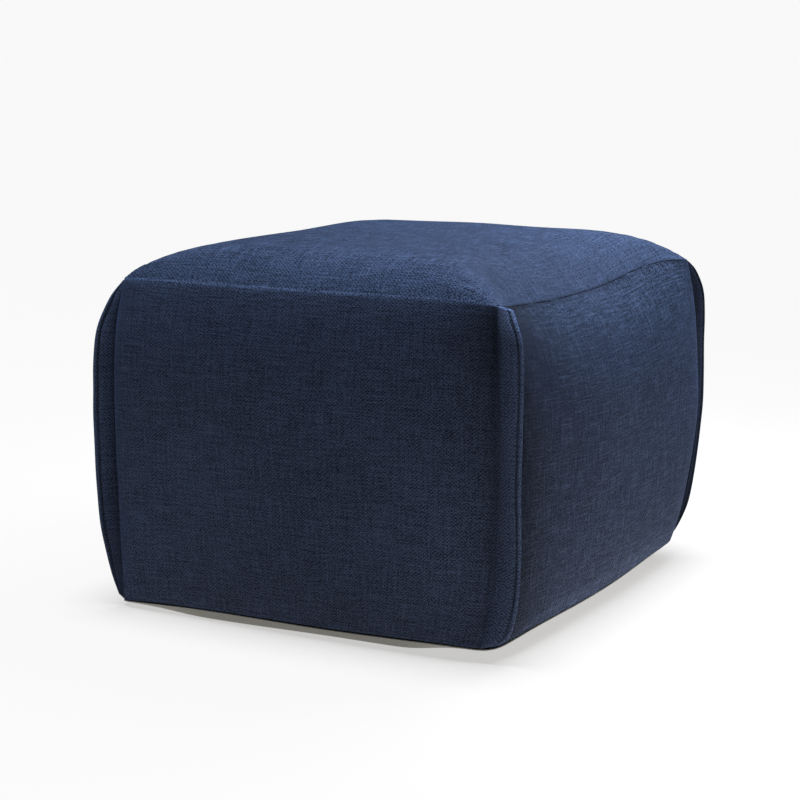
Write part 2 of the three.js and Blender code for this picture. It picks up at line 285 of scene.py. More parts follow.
# A side face between its two seams
def wall(at, s, up):
    side = sides[at]
    low = base(at, s, 0.0)[:, 2] + body["cloth"]
    high = crown(at, s, 0.0)[:, 2] - body["seamGap"]
    keep = 1 - footShrink(at, s) * (1 - up) ** body["footPower"] - body["topTaper"] * up ** body["topPower"]
    belly = body["seamSwell"] + (1 - body["seamSwell"]) * math.sin(math.pi * up) ** body["bellyPower"]
    fromSeam = min(up, 1 - up) * body["seamHeight"]
    dent = grooveAt(side, s) * math.exp(-fromSeam / body["grooveReach"])
    dent += pullIn(side, s) * up ** side["pullPower"]
    plan = outline(side, s, keep, dent, side["swell"] * belly) + cornerShift(at, s, up)
    return np.column_stack([plan, low + (high - low) * up])


def addMesh(name, points, faces):
    mesh = bpy.data.meshes.new(name)
    mesh.from_pydata([tuple(p) for p in points], [], faces)
    piece = bpy.data.objects.new(name, mesh)
    bpy.context.scene.collection.objects.link(piece)
    mesh.polygons.foreach_set("use_smooth", [True] * len(mesh.polygons))
    return piece


def getPoints(piece):
    flat = np.zeros(len(piece.data.vertices) * 3, np.float32)
    piece.data.vertices.foreach_get("co", flat)
    return flat.reshape(-1, 3).astype(float)


def getNormals(piece):
    flat = np.zeros(len(piece.data.vertices) * 3, np.float32)
    piece.data.vertex_normals.foreach_get("vector", flat)
    return flat.reshape(-1, 3).astype(float)


def setPoints(piece, points):
    piece.data.vertices.foreach_set("co", np.asarray(points, np.float32).ravel())
    piece.data.update()


def setColumn(piece, name, values):
    column = piece.data.attributes.get(name) or piece.data.attributes.new(name, "FLOAT", "POINT")
    column.data.foreach_set("value", np.asarray(values, np.float32))


def getColumn(piece, name):
    values = np.zeros(len(piece.data.vertices), np.float32)
    piece.data.attributes[name].data.foreach_get("value", values)
    return values.astype(float)


# The cloth's own flat coordinates in metres, so that the weave follows each panel
def setClothMap(piece, corners2d):
    layer = piece.data.uv_layers.new(name="cloth")
    layer.data.foreach_set("uv", np.asarray(corners2d, np.float32).ravel())


def applyModifier(piece, kind, **settings):
    modifier = piece.modifiers.new(kind.lower(), kind)
    for key, value in settings.items():
        setattr(modifier, key, value)
    bpy.context.view_layer.objects.active = piece
    bpy.ops.object.modifier_apply(modifier=modifier.name)


# Side band with its four pleats, one closed form over the fill
sideBand = {
    "fillCap": 0.0045,  # how far the fill may push it out
    "seamStep": 0.0015,  # rows and columns crowd at the seams and the creases
    "midStep": 0.0095,
    "stepGrowth": 0.24,
    "creaseGap": 0.003,  # from the crease to the first column of a face
    "gapClear": 1.4,  # how many gaps the next column keeps away
    # Columns of a pleat: from the fold or share of the rest, half thick, and painted light and shade: a
    # painted highlight on the rounded fold, painted shade in the dent of the stitching and towards the root
    "foldZone": [(0.0004, 0.0008, 1.7), (0.0012, 0.0014, 1.65), (0.0023, 0.0017, 1.4),
                 (0.0034, 0.0015, 1.1), (0.0043, 0.0010, 0.8), (0.0049, 0.0007, 0.55),
                 (0.0055, 0.0009, 0.8), (0.0065, 0.0015, 1.3), (0.0080, 0.0019, 1.25)],
    "rootZone": [(0.8, 0.0021, 1.1), (0.55, 0.0022, 1.0), (0.3, 0.0024, 0.9), (0.1, 0.0022, 0.65)],
    "fullReach": 0.016,  # a shorter pleat is thinner too
    # How uneven a pleat is, in degrees of lean, share of reach and bow of its flanks: most, turns, seed
    "leanDrift": (3, 5, 21),
    "reachDrift": (0.02, 12, 22),
    "bowDrift": (0.0012, 4, 23),
    "driftApart": 40,  # from one pleat to the next
    "turnShares": (0.03, 0.1, 0.25),  # the edges turn in under the top panel and over the base
    "turnDepth": 0.0045,
    "turnStep": 0.01,  # of the cloth's map over each of them
    "hiddenUp": 2.0,  # marks their points, which aren't between the seams at 0 and 1
    "shadeFall": 1.3,  # how fast the painted shade of a crease ends
    "topShade": 0.5,  # more of it near the top seam
    "topShadeUps": (0.7, 0.93),
    "darkest": 0.2,
    "edgePaintedShading": (1.3, 0.7, 1.0, 1.0),  # painted highlight on the front and painted shade on the right, along the top seam of each side
    "edgeWidth": 0.002,
    "endUps": (0.9, 0.985),  # where a pleat turns to the painted highlight of its top end
    "pocketUps": (0.87, 0.95, 0.98),  # where the painted shadow in a pocket starts, is darkest and starts to end
    "pocketReach": 0.034,
    "footPlain": (0.4, 0.25),  # share of the fold's painted light and shade left at the foot, and where it is full
}


def faceColumns(at):
    length = 2 * sides[at]["half"]
    spots = crowded(length, sideBand["seamStep"], sideBand["midStep"], sideBand["stepGrowth"])
    clear = sideBand["creaseGap"] * sideBand["gapClear"]
    inner = spots[(spots > clear) & (spots < length - clear)]
    spots = np.concatenate([[sideBand["creaseGap"]], inner, [length - sideBand["creaseGap"]]])
    return spots / length  # shares from the first corner to the next


# Half sections of a pleat from its root to its fold: share of the reach, half thickness
def pleatSection(reach):
    small = min(1.0, reach / sideBand["fullReach"])
    zoneEnd = sideBand["foldZone"][-1][0] * small
    rest = (reach - zoneEnd) / reach
    root = [(share * rest, half * small) for share, half, _ in sideBand["rootZone"][::-1]]
    fold = [(1 - gap * small / reach, half * small) for gap, half, _ in sideBand["foldZone"][::-1]]
    return np.array(root + fold)


# How far a pleat strays from its even shape at a height
def pleatDrift(at, up, key):
    most, turns, seed = sideBand[key]
    return most * wander(up * turns + sideBand["driftApart"] * at, 1, seed)


def pleatFrame(at, up):
    reach, lean, flare, foldRise = curveAt(corners[at]["pleat"], up)[0]
    heading = math.radians(corners[at]["diagonal"] + lean + pleatDrift(at, up, "leanDrift"))
    forward = np.array([math.cos(heading), math.sin(heading), 0])
    beside = np.array([math.sin(heading), -math.cos(heading), 0])
    before = (at + 3) % 4
    endShare = 1 - max(flare, 0) / sides[before]["half"]
    rootBefore = wall(before, np.array([endShare]), up)[0]
    rootAfter = wall(at, np.array([-1.0]), up)[0]
    tip = rootAfter + forward * reach * (1 + pleatDrift(at, up, "reachDrift"))
    tip[2] += foldRise
    return rootBefore, rootAfter, tip, beside, reach


def pleatLoop(at, up):
    rootBefore, rootAfter, tip, beside, reach = pleatFrame(at, up)
    section = pleatSection(reach)
    bend = np.sin(math.pi * section[:, :1]) * pleatDrift(at, up, "bowDrift") * beside
    first = rootBefore + (tip - rootBefore) * section[:, :1] + beside * section[:, 1:] + bend
    second = rootAfter + (tip - rootAfter) * section[:, :1] - beside * section[:, 1:] + bend
    return first, tip, second[::-1]


# One loop of the band: it starts at the fold of the front left pleat
def bandLoop(up):
    parts, pleats = [], [pleatLoop(at, up) for at in range(4)]
    for at in range(4):
        _, tip, second = pleats[at]
        flareEnd = max(curveAt(corners[(at + 1) % 4]["pleat"], up)[0, 2], 0) / (2 * sides[at]["half"])
        face = wall(at, 2 * faceColumns(at) * (1 - flareEnd) - 1, up)
        parts += [tip[None], second, face, pleats[(at + 1) % 4][0]]
    return np.concatenate(parts)


# Where each column of a loop belongs: its corner or side, its place along that side, the painted light and
# shade of the cloth there
def bandColumns():
    tones = [tone for _, _, tone in sideBand["foldZone"] + sideBand["rootZone"]]
    columns = []
    for at in range(4):
        after = (at + 1) % 4
        columns += [("pleat", at, -1.0, tone * corners[at]["pleatPaintedShading"]) for tone in tones[:1] + tones]
        columns += [("face", at, 2 * share - 1, paintedFaceShading(at, 2 * share - 1)) for share in faceColumns(at)]
        columns += [("pleat", after, -1.0, tone * corners[after]["pleatPaintedShading"]) for tone in tones[::-1]]
    return columns


# Painted shade of a face beside its two creases, taken from its side's painted shade; 1 where the cloth
# keeps its own colour
def paintedFaceShading(at, s):
    creases = ((1 + s, corners[at]["shade"][1]), (1 - s, corners[(at + 1) % 4]["shade"][0]))
    dark = 0
    for gap, (depth, reach) in creases:
        dark += depth * math.exp(-(gap * sides[at]["half"] / reach) ** sideBand["shadeFall"])
    return sides[at]["tone"] - dark


# Painted light and shade of the band. The painted highlights and shade of the folds are plainer at the
# foot, and the painted shade of creases is deeper near the top seam. Each face has painted light up its
# height and a painted shadow in the pocket behind a pleat's top end, and its sewn edge catches the painted
# light or lies in painted shade
def paintedBandShading(columns, ups):
    tones = np.array([tone for _, _, _, tone in columns])
    plain = tones.copy()
    for c, (kind, at, _, _) in enumerate(columns):
        if kind == "pleat":
            plain[c] = corners[at]["pleatPaintedShading"]
    left, full = sideBand["footPlain"]
    tones = plain + (tones - plain) * (left + (1 - left) * ease(0, full, ups))[:, None]
    deeper = 1 + sideBand["topShade"] * ease(*sideBand["topShadeUps"], ups)[:, None]
    tones = np.where(tones < 1, np.maximum(1 - (1 - tones) * deeper, sideBand["darkest"]), tones)
    edge = np.exp(-((1 - ups) * body["seamHeight"] / sideBand["edgeWidth"]) ** 2)
    paintedLights = [curveAt(side["paintedLight"], ups)[:, 0] for side in sides]
    ends = [1 + (corner["endPaintedHighlight"] - 1) * ease(*sideBand["endUps"], ups) for corner in corners]
    pocketFrom, pocketFull, pocketEnd = sideBand["pocketUps"]
    inPocket = ease(pocketFrom, pocketFull, ups) * (1 - ease(pocketEnd, 1, ups))
    for c, (kind, at, s, _) in enumerate(columns):
        if kind == "pleat":
            tones[:, c] *= ends[at]
        else:
            gap = (1 + s) * sides[at]["half"] / sideBand["pocketReach"]
            pocketPaintedShadow = corners[at]["pocketPaintedShadow"] * math.exp(-gap * gap) * inPocket
            tones[:, c] = tones[:, c] * paintedLights[at] * (1 - pocketPaintedShadow) + edge * (sideBand["edgePaintedShading"][at] - 1)
    return tones


def buildSideBand():
    rise = body["seamHeight"]
    ups = crowded(rise, sideBand["seamStep"], sideBand["midStep"], sideBand["stepGrowth"]) / rise
    columns = bandColumns()
    count, rows = len(columns), len(ups)
    points = list(np.concatenate([bandLoop(up) for up in ups]))
    index = [np.arange(count) + row * count for row in range(rows)]

    # Turned-in edges, where each pleat's columns gather in one point at its crease
    def turnIn(surface, q, lift):
        known = {}
        for _, at, s, _ in columns:
            if (at, s) not in known:
                known[at, s] = len(points)
                points.append(surface(at, np.array([s]), np.array([q]))[0] + np.array([0, 0, lift]))
        return np.array([known[at, s] for _, at, s, _ in columns])

    depth = sideBand["turnDepth"]
    index = [turnIn(base, q, depth) for q in sideBand["turnShares"][::-1]] + index
    index += [turnIn(crown, q, -depth) for q in sideBand["turnShares"]]
    faces, places = [], []
    for row, (lower, upper) in enumerate(zip(index, index[1:])):
        for c in range(count):
            n = (c + 1) % count
            corner = [lower[c], lower[n], upper[n], upper[c]]
            keep = [k for k in range(4) if corner[k] != corner[k - 1]]
            if len(keep) > 2:
                faces.append([int(corner[k]) for k in keep])
                places += [((c, c + 1, c + 1, c)[k], (row, row, row + 1, row + 1)[k]) for k in keep]
    piece = addMesh("side_band", points, faces)

    # The cloth's map unrolls the loop at half height
    middle = bandLoop(0.5)
    steps = np.linalg.norm(np.roll(middle, -1, axis=0) - middle, axis=1)
    unrolled = np.concatenate([[0], np.cumsum(steps)])
    edge = sideBand["turnStep"] * np.arange(1, len(sideBand["turnShares"]) + 1)
    heights = np.concatenate([-edge[::-1], ups * rise, rise + edge])
    setClothMap(piece, [(unrolled[c], heights[r]) for c, r in places])

    lengths = np.cumsum([0] + [2 * side["half"] for side in sides])
    seamAt = [lengths[at] + (s + 1) * sides[at]["half"] for _, at, s, _ in columns]
    held = np.tile([float(kind == "pleat") for kind, _, _, _ in columns], (rows, 1))
    held[[0, -1]] = 1
    hidden = len(points) - rows * count
    setColumn(piece, "up", np.concatenate([np.repeat(ups, count), np.full(hidden, sideBand["hiddenUp"])]))
    setColumn(piece, "seamAt", np.concatenate([np.tile(seamAt, rows), np.zeros(hidden)]))
    setColumn(piece, "sewn", np.concatenate([held.ravel(), np.ones(hidden)]))
    # The linen's colour is multiplied by this painted light and shade
    setColumn(piece, "tone", np.concatenate([paintedBandShading(columns, ups).ravel(), np.ones(hidden)]))
    # Slubs are stronger on some faces: partly real slubs, partly painted relief shade where light grazes
    # the cloth
    slubs = [sides[at]["slubAndReliefShade"] if kind == "face" else 1 for kind, at, _, _ in columns]
    setColumn(piece, "slubAndReliefShade", np.concatenate([np.tile(slubs, rows), np.ones(hidden)]))
    return piece


# Closes the hidden ends of the band under the top panel and over the base
def closeEnds(piece):
    bpy.ops.object.select_all(action="DESELECT")
    piece.select_set(True)
    bpy.context.view_layer.objects.active = piece
    bpy.ops.object.mode_set(mode="EDIT")
    bpy.ops.mesh.select_all(action="SELECT")
    bpy.ops.mesh.fill_holes(sides=0)
    bpy.ops.object.mode_set(mode="OBJECT")
    piece.select_set(False)


# Lets the fill push the cloth out between its seams, with the sewn points held
filling = {
    "frames": 20,
    "evening": 14,  # passes that even out small folds
    "cloth": {"quality": 6, "mass": 0.3, "tension_stiffness": 30.0, "compression_stiffness": 30.0,
              "bending_stiffness": 1.5, "shrink_min": -0.006, "use_pressure": True,
              "uniform_pressure_force": 4.0, "vertex_group_mass": "sewn"},
}


def fillCloth(piece, cap):
    rest = getPoints(piece)
    held = getColumn(piece, "sewn").astype(bool)
    sewn = piece.vertex_groups.new(name="sewn")
    sewn.add([int(v) for v in np.nonzero(held)[0]], 1.0, "REPLACE")
    cloth = piece.modifiers.new("fill", "CLOTH")
    for key, value in filling["cloth"].items():
        setattr(cloth.settings, key, value)
    cloth.settings.effector_weights.gravity = 0
    cloth.collision_settings.use_collision = False
    scene = bpy.context.scene
    for step in range(1, filling["frames"] + 1):
        scene.frame_set(step)
    bpy.context.view_layer.objects.active = piece
    bpy.ops.object.modifier_apply(modifier=cloth.name)
    scene.frame_set(1)
    move = getPoints(piece) - rest
    length = np.linalg.norm(move, axis=1)
    most, usual = 1000 * length.max(), 1000 * length.mean()
    print(f"{piece.name}: the fill moved the cloth by up to {most:.1f} mm, {usual:.1f} on average")
    move *= (cap * np.tanh(length / cap) / np.maximum(length, tiny))[:, None]
    setPoints(piece, rest + evenOut(piece, move, held))


# Brings each free point's move nearer to those of its neighbours
def evenOut(piece, move, held):
    ends = np.zeros(2 * len(piece.data.edges), np.int32)
    piece.data.edges.foreach_get("vertices", ends)
    one, two = ends.reshape(-1, 2).T
    neighbours = np.bincount(ends, minlength=len(move))[:, None]
    for _ in range(filling["evening"]):
        around = np.zeros_like(move)
        np.add.at(around, one, move[two])
        np.add.at(around, two, move[one])
        move = np.where(held[:, None], move, (move + around / neighbours) / 2)
    return move


band = buildSideBand()
print("side band:", len(band.data.vertices), "points before the fill")
fillCloth(band, sideBand["fillCap"])
applyModifier(band, "SUBSURF", levels=1, render_levels=1)
closeEnds(band)

# Puckers where the band is sewn to the top, and soft hollows over the faces
pucker = {"depth": 0.0008, "reach": 0.012, "step": 0.011, "coarse": 0.65, "rippleSeeds": (1, 2),
          "footShare": 0.6, "footShift": 3,  # the foot's puckers are shallower, and start elsewhere
          "hollow": 0.0012, "hollowStep": 0.1, "bandSeed": 3, "topSeed": 4}


def seamRipple(seamAt):
    coarse, fine = pucker["rippleSeeds"]
    large = pucker["coarse"] * wander(seamAt, pucker["step"], coarse)
    return large + (1 - pucker["coarse"]) * wander(seamAt, pucker["step"] / 2, fine)


def seamDepth(at):
    return pucker["depth"] * np.array([side["pucker"] for side in sides])[at]


def puckerBand(piece):
    up, seamAt, sewn = (getColumn(piece, name) for name in ("up", "seamAt", "sewn"))
    free = np.clip(1 - sewn, 0, 1) * (up <= 1)
    lengths = np.cumsum([2 * side["half"] for side in sides])
    depth = seamDepth(np.minimum(np.searchsorted(lengths, seamAt), 3))
    below = (1 - up) * body["seamHeight"]
    above = up * body["seamHeight"]
    footRipple = pucker["footShare"] * seamRipple(seamAt + pucker["footShift"])
    push = depth * seamRipple(seamAt) * np.exp(-below / pucker["reach"])
    push += depth * footRipple * np.exp(-above / pucker["reach"])
    inner = np.sin(np.pi * np.clip(up, 0, 1))
    push += pucker["hollow"] * cloud(seamAt, above, pucker["hollowStep"], pucker["bandSeed"]) * inner
    setPoints(piece, getPoints(piece) + getNormals(piece) * (push * free)[:, None])


puckerBand(band)
print("side band:", len(band.data.polygons), "faces")

# Top panel: a crowned sheet whose rim goes into the seam
topPanel = {
    "thickness": 0.0016, "fillCap": 0.002,
    "rimStep": 0.0014, "midStep": 0.0095, "stepGrowth": 0.22,
    "lip": 0.0002, "lipAt": 0.006, "lipWidth": 0.004,  # the cloth stands up a little beside its seam
    "slubAndReliefShade": (1.35, 1.75), "slubFrom": 0.86,  # slubs show more where the top lies flat: partly real slubs, partly painted relief shade where light grazes it
    "rimPaintedShading": (1.22, 0.55, 0.9, 0.9), "rimWidth": 0.0018,  # painted highlight on the front and painted shade on the other sides, along the seam of each side
    "lap": (0.0014, 0, 0, 0),  # how far the rim of each side hangs over the band
    # Painted light, paler towards the back right and on the slope to the front
    "paintedLight": 0.33, "slopePaintedLight": 0.26, "slopeFrom": (0.6, 0.95),
    "hollow": 1.2, "hollowFrom": 0.08,  # times the band's hollows, and how far from the seam they are full
    "gather": 0.0011, "gatherReach": 0.022, "gatherFolds": 14,  # small folds round each corner
    "gatherDrift": (0.12, 3, 6), "gatherApart": 20, "gatherFrom": (0.001, 0.008),
}
sheetHalf = 0.24  # from a sheet's middle to its rim, for its steps
rimReach = 0.9999  # past this a point is on the rim


# Which side of the pouf a place on a square of 2 by 2 belongs to, and its place along that side
def sideOf(a, b):
    reach = np.maximum(np.abs(a), np.abs(b))
    safe = np.maximum(reach, tiny)
    at = np.where(np.abs(b) >= np.abs(a), np.where(b < 0, 0, 2), np.where(a > 0, 1, 3))
    s = np.choose(at, [a, b, -a, -b]) / safe
    return at, np.clip(s, -1, 1), reach


# Length over the cloth from its middle line, one way across a grid of points
def lengthOver(grid, axis):
    steps = np.linalg.norm(np.diff(grid, axis=axis), axis=2)
    run = np.cumsum(np.insert(steps, 0, 0, axis=axis), axis=axis)
    return (run - np.take(run, [run.shape[axis] // 2], axis=axis)).ravel()


# A sheet over a square of places, laid on the crown or the base
def buildSheet(name, settings, surface):
    rimStep, midStep = settings["rimStep"] / sheetHalf, settings["midStep"] / sheetHalf
    spots = crowded(2.0, rimStep, midStep, settings["stepGrowth"]) - 1
    a, b = (grid.ravel() for grid in np.meshgrid(spots, spots))
    at, s, reach = sideOf(a, b)
    points = np.zeros((len(a), 3))
    for side in range(4):
        mine = at == side
        points[mine] = surface(side, s[mine], reach[mine])
    n = len(spots)
    faces = [(r * n + c, r * n + c + 1, (r + 1) * n + c + 1, (r + 1) * n + c)
             for r in range(n - 1) for c in range(n - 1)]
    piece = addMesh(name, points, faces)
    grid = points.reshape(n, n, 3)
    flat = np.column_stack([lengthOver(grid, 1), lengthOver(grid, 0)])
    setClothMap(piece, flat[np.array(faces).ravel()])
    setColumn(piece, "reach", reach)
    setColumn(piece, "sewn", reach > rimReach)
    return piece


def crownSpot(side, s, reach):
    return crown(side, s, 1 - reach)


top = buildSheet("top_cover", topPanel, crownSpot)
fillCloth(top, topPanel["fillCap"])
applyModifier(top, "SUBSURF", levels=1, render_levels=1)


# Small folds that fan out round each corner of the top and end before its seam
def cornerGathers(points, fromSeam):
    most, turns, seed = topPanel["gatherDrift"]
    rise = np.zeros(len(points))
    for corner in range(4):
        away = points[:, :2] - crown(corner, np.array([-1.0]), 0.0)[0, :2]
        gap = np.linalg.norm(away, axis=1) / topPanel["gatherReach"]
        heading = np.arctan2(away[:, 1], away[:, 0])
        heading += most * wander(gap * turns + topPanel["gatherApart"] * corner, 1, seed)
        rise += np.sin(topPanel["gatherFolds"] * heading) * gap * np.exp(1 - gap)
    return topPanel["gather"] * rise * ease(*topPanel["gatherFrom"], fromSeam)


def puckerTop(piece):
    points = getPoints(piece)
    a = points[:, 0] / (body["width"] / 2 * (1 - body["topTaper"]))
    b = points[:, 1] / (body["depth"] / 2 * (1 - body["topTaper"]))
    at, s, _ = sideOf(a, b)
    fromSeam = (1 - getColumn(piece, "reach")) * sheetHalf
    lengths = np.array([2 * side["half"] for side in sides])
    starts = np.concatenate([[0], np.cumsum(lengths)[:-1]])
    seamAt = starts[at] + (s + 1) / 2 * lengths[at]
    push = seamDepth(at) * seamRipple(seamAt) * np.exp(-fromSeam / pucker["reach"])
    push += topPanel["lip"] * np.exp(-((fromSeam - topPanel["lipAt"]) / topPanel["lipWidth"]) ** 2)
    hollow = topPanel["hollow"] * pucker["hollow"] * ease(0, topPanel["hollowFrom"], fromSeam)
    push += hollow * cloud(points[:, 0] + 1, points[:, 1] + 1, pucker["hollowStep"], pucker["topSeed"])
    push += cornerGathers(points, fromSeam)
    onRim = np.exp(-(fromSeam / topPanel["rimWidth"]) ** 2)
    lap = np.array(topPanel["lap"])[at] * onRim
    setPoints(piece, points + getNormals(piece) * push[:, None] - lap[:, None] * np.array([0, 0, 1]))

    # Painted light, paler towards the back right, where the light falls, and on the slope to the front,
    # with a painted highlight along the front rim and painted shade along the others
    rim = (np.array(topPanel["rimPaintedShading"])[at] - 1) * onRim
    paintedLightOnTop = topPanel["paintedLight"] * (a + b) / 2 + topPanel["slopePaintedLight"] * ease(*topPanel["slopeFrom"], -b)
    setColumn(piece, "tone", 1 + rim + paintedLightOnTop)
    edgeSlub, flatSlub = topPanel["slubAndReliefShade"]
    lying = ease(topPanel["slubFrom"], 1, getNormals(piece)[:, 2])
    setColumn(piece, "slubAndReliefShade", edgeSlub + (flatSlub - edgeSlub) * lying)


puckerTop(top)
applyModifier(top, "SOLIDIFY", thickness=topPanel["thickness"], offset=-1)
print("top cover:", len(top.data.polygons), "faces")

# Base cloth: flat on the floor and turned up to the bottom seam
baseCloth = {"thickness": 0.0014, "turnShare": 0.3, "floorGap": 0.0002,
             "rimStep": 0.003, "midStep": 0.02, "stepGrowth": 0.2}


def baseSpot(side, s, reach):
    turn = baseCloth["turnShare"]
    q = (1 - reach) / turn
    edge = base(side, s, np.minimum(q, 1))
    inner = np.clip((1 - turn - reach) / (1 - turn), 0, 1)
    edge[:, :2] *= (1 - inner)[:, None]
    edge[:, 2] += baseCloth["floorGap"]
    return edge


under = buildSheet("base_cloth", baseCloth, baseSpot)
under.data.flip_normals()
applyModifier(under, "SUBSURF", levels=1, render_levels=1)
applyModifier(under, "SOLIDIFY", thickness=baseCloth["thickness"], offset=-1)
print("base cloth:", len(under.data.polygons), "faces")

# Edge stitching of the pleats: short threads lying in the dent beside each fold
stitching = {"fromFold": 0.0049, "aside": 0.004, "proud": 0.0001, "low": 0.02, "high": 0.98, "stops": 120,
             "pitch": 0.0038, "length": 0.0027, "radius": 0.00042, "segments": 6, "rings": 5,
             "endTurn": 0.12, "roundness": 0.5,  # how thin a stitch is at its ends
             "askew": (0.3, 0.5, 0.1)}  # a heading that no stitch has


def stitchRow(at, tree, hand):
    ups = np.linspace(stitching["low"], stitching["high"], stitching["stops"])
    line = []
    for up in ups:
        rootBefore, rootAfter, tip, beside, reach = pleatFrame(at, up)
        root = rootBefore if hand > 0 else rootAfter
        small = min(1.0, reach / sideBand["fullReach"])
        inward = (root - tip) / np.linalg.norm(root - tip)
        spot = tip + inward * stitching["fromFold"] * small + beside * hand * stitching["aside"]
        hit, normal, _, _ = tree.find_nearest(Vector(spot))
        line.append(np.array(hit + normal * stitching["proud"]))
    line = np.array(line)
    run = np.concatenate([[0], np.cumsum(np.linalg.norm(np.diff(line, axis=0), axis=1))])
    starts = np.arange(0, run[-1] - stitching["length"], stitching["pitch"])
    return [[np.interp(start + stitching["length"] * t, run, line[:, k]) for k in range(3)]
            for start in starts for t in np.linspace(0, 1, stitching["rings"])]


def buildStitches(at):
    tree = BVHTree.FromObject(band, bpy.context.evaluated_depsgraph_get())
    points, faces = [], []
    rings, segments = stitching["rings"], stitching["segments"]
    for hand in (1, -1):
        spine = np.array(stitchRow(at, tree, hand)).reshape(-1, rings, 3)
        for stitch in spine:
            heading = stitch[-1] - stitch[0]
            heading /= np.linalg.norm(heading)
            across = np.cross(heading, stitching["askew"])
            across /= np.linalg.norm(across)
            lift = np.cross(heading, across)
            start = len(points)
            for ring, middle in enumerate(stitch):
                turned = stitching["endTurn"] + (1 - 2 * stitching["endTurn"]) * ring / (rings - 1)
                size = stitching["radius"] * math.sin(math.pi * turned) ** stitching["roundness"]
                for turn in range(segments):
                    angle = 2 * math.pi * turn / segments
                    points.append(middle + size * (across * math.cos(angle) + lift * math.sin(angle)))
            for ring in range(rings - 1):
                for turn in range(segments):
                    a = start + ring * segments + turn
                    b = start + ring * segments + (turn + 1) % segments
                    faces.append((a, b, b + segments, a + segments))
            faces.append(tuple(start + turn for turn in reversed(range(segments))))
            faces.append(tuple(start + (rings - 1) * segments + turn for turn in range(segments)))
    return addMesh(corners[at]["node"].replace("corner_pleat", "edge_stitching"), points, faces)


stitches = [buildStitches(at) for at in range(4)]
print("edge stitching:", sum(len(row.data.polygons) for row in stitches), "faces")


# One socket of a shader, so that shader maths reads as Python
class Socket:
    def __init__(self, tree, socket):
        self.tree, self.socket = tree, socket

    def node(self, kind, settings, inputs, output=0):
        made = self.tree.nodes.new(kind)
        for key, value in settings.items():
            setattr(made, key, value)
        for key, value in inputs.items():
            if isinstance(value, Socket):
                self.tree.links.new(value.socket, made.inputs[key])
            else:
                made.inputs[key].default_value = value
        return Socket(self.tree, made.outputs[output])

    def math(self, operation, *values):
        return self.node("ShaderNodeMath", {"operation": operation}, dict(enumerate(values)))

    def __add__(self, other):
        return self.math("ADD", self, other)

    def __radd__(self, other):
        return self.math("ADD", other, self)

    def __sub__(self, other):
        return self.math("SUBTRACT", self, other)

    def __rsub__(self, other):
        return self.math("SUBTRACT", other, self)

    def __mul__(self, other):
        return self.math("MULTIPLY", self, other)

    def __rmul__(self, other):
        return self.math("MULTIPLY", other, self)

    def clamp(self, low, high):
        return self.math("MINIMUM", self.math("MAXIMUM", self, low), high)

    def mix(self, first, second):
        return self.node("ShaderNodeMix", {"data_type": "RGBA"}, {0: self, 6: first, 7: second}, 2)


def newMaterial(name, constants):
    material = bpy.data.materials.new(name)
    material.use_nodes = True
    tree = material.node_tree
    shader = tree.nodes["Principled BSDF"]
    for key, value in constants.items():
        shader.inputs[key].default_value = value
    return material, Socket(tree, shader.outputs[0]), shader


def join(socket, shader, key):
    socket.tree.links.new(socket.socket, shader.inputs[key])


# The cloth's own coordinates in metres, along its width and up it
def clothPlace(start):
    flat = start.node("ShaderNodeUVMap", {"uv_map": "cloth"}, {})
    width = start.node("ShaderNodeSeparateXYZ", {}, {0: flat})
    return width, Socket(width.tree, width.socket.node.outputs[1])


# Random streaks from -0.5 to 0.5 over the cloth, longer one way than the other
def streaks(start, u, v, row):
    uScale, vScale, seed, detail = row
    spot = start.node("ShaderNodeCombineXYZ", {}, {0: u * uScale, 1: v * vScale, 2: seed})
    return start.node("ShaderNodeTexNoise", {}, {"Vector": spot, "Scale": 1.0, "Detail": detail}) - 0.5


def addRelief(start, shader, look, height):
    settings = {"Strength": look["bump"], "Distance": look["bumpHeight"], "Height": height}
    join(start.node("ShaderNodeBump", {}, settings), shader, "Normal")


linen = {
    "weftPitch": 0.0019, "warpPitch": 0.0022,  # threads lying along the cloth's width, and up it
    "dark": (0.0025, 0.0034, 0.0062, 1), "light": (0.0272, 0.0368, 0.064, 1),
    # Streaks: how many in a metre of width and of height, seed, detail
    "weft": (26, 620, 0.0, 2.0),  # slubs along the width
    "warp": (520, 20, 5.0, 2.0),  # slubs up the cloth
    "fuzz": (760, 820, 9.0, 1.0),
    "nubs": (250, 540, 11.0, 1.0),
    "patches": (9, 9, 7.0, 2.0),
    "thickWeft": (34, 400, 13.0, 1.0),  # pale thick places of single threads
    "thickWarp": (380, 40, 15.0, 1.0),
    "drift": (45, 45, 3.0, 1.0), "driftReach": 0.0012,  # threads that aren't quite straight
    "thickFrom": 0.03, "thickGain": 2.6, "thickMean": 0.17,
    # Tones: on a plain panel, and the rise with the panel's slubs, which are partly painted relief shade
    "weftTone": (0.84, 0.15), "warpTone": (0.48, 0.45), "fuzzTone": (2.6, -1.0), "nubTone": (0.5, 1.5),
    "thickTone": (0.0, 1.25), "weaveTone": 0.27, "patchTone": 0.2, "middle": 0.5,
    "weftHeight": 0.6, "warpHeight": 0.5, "weaveHeight": 0.2, "fuzzHeight": 0.5,
    "bump": 0.55, "bumpHeight": 0.0006,
    "rough": 0.97, "roughFall": 0.16, "leastRough": 0.7,  # paler threads are a little smoother
    "constants": {"Specular IOR Level": 0.05, "Sheen Weight": 0.03, "Sheen Roughness": 0.4,
                  "Sheen Tint": (0.3, 0.45, 1.0, 1)},
}


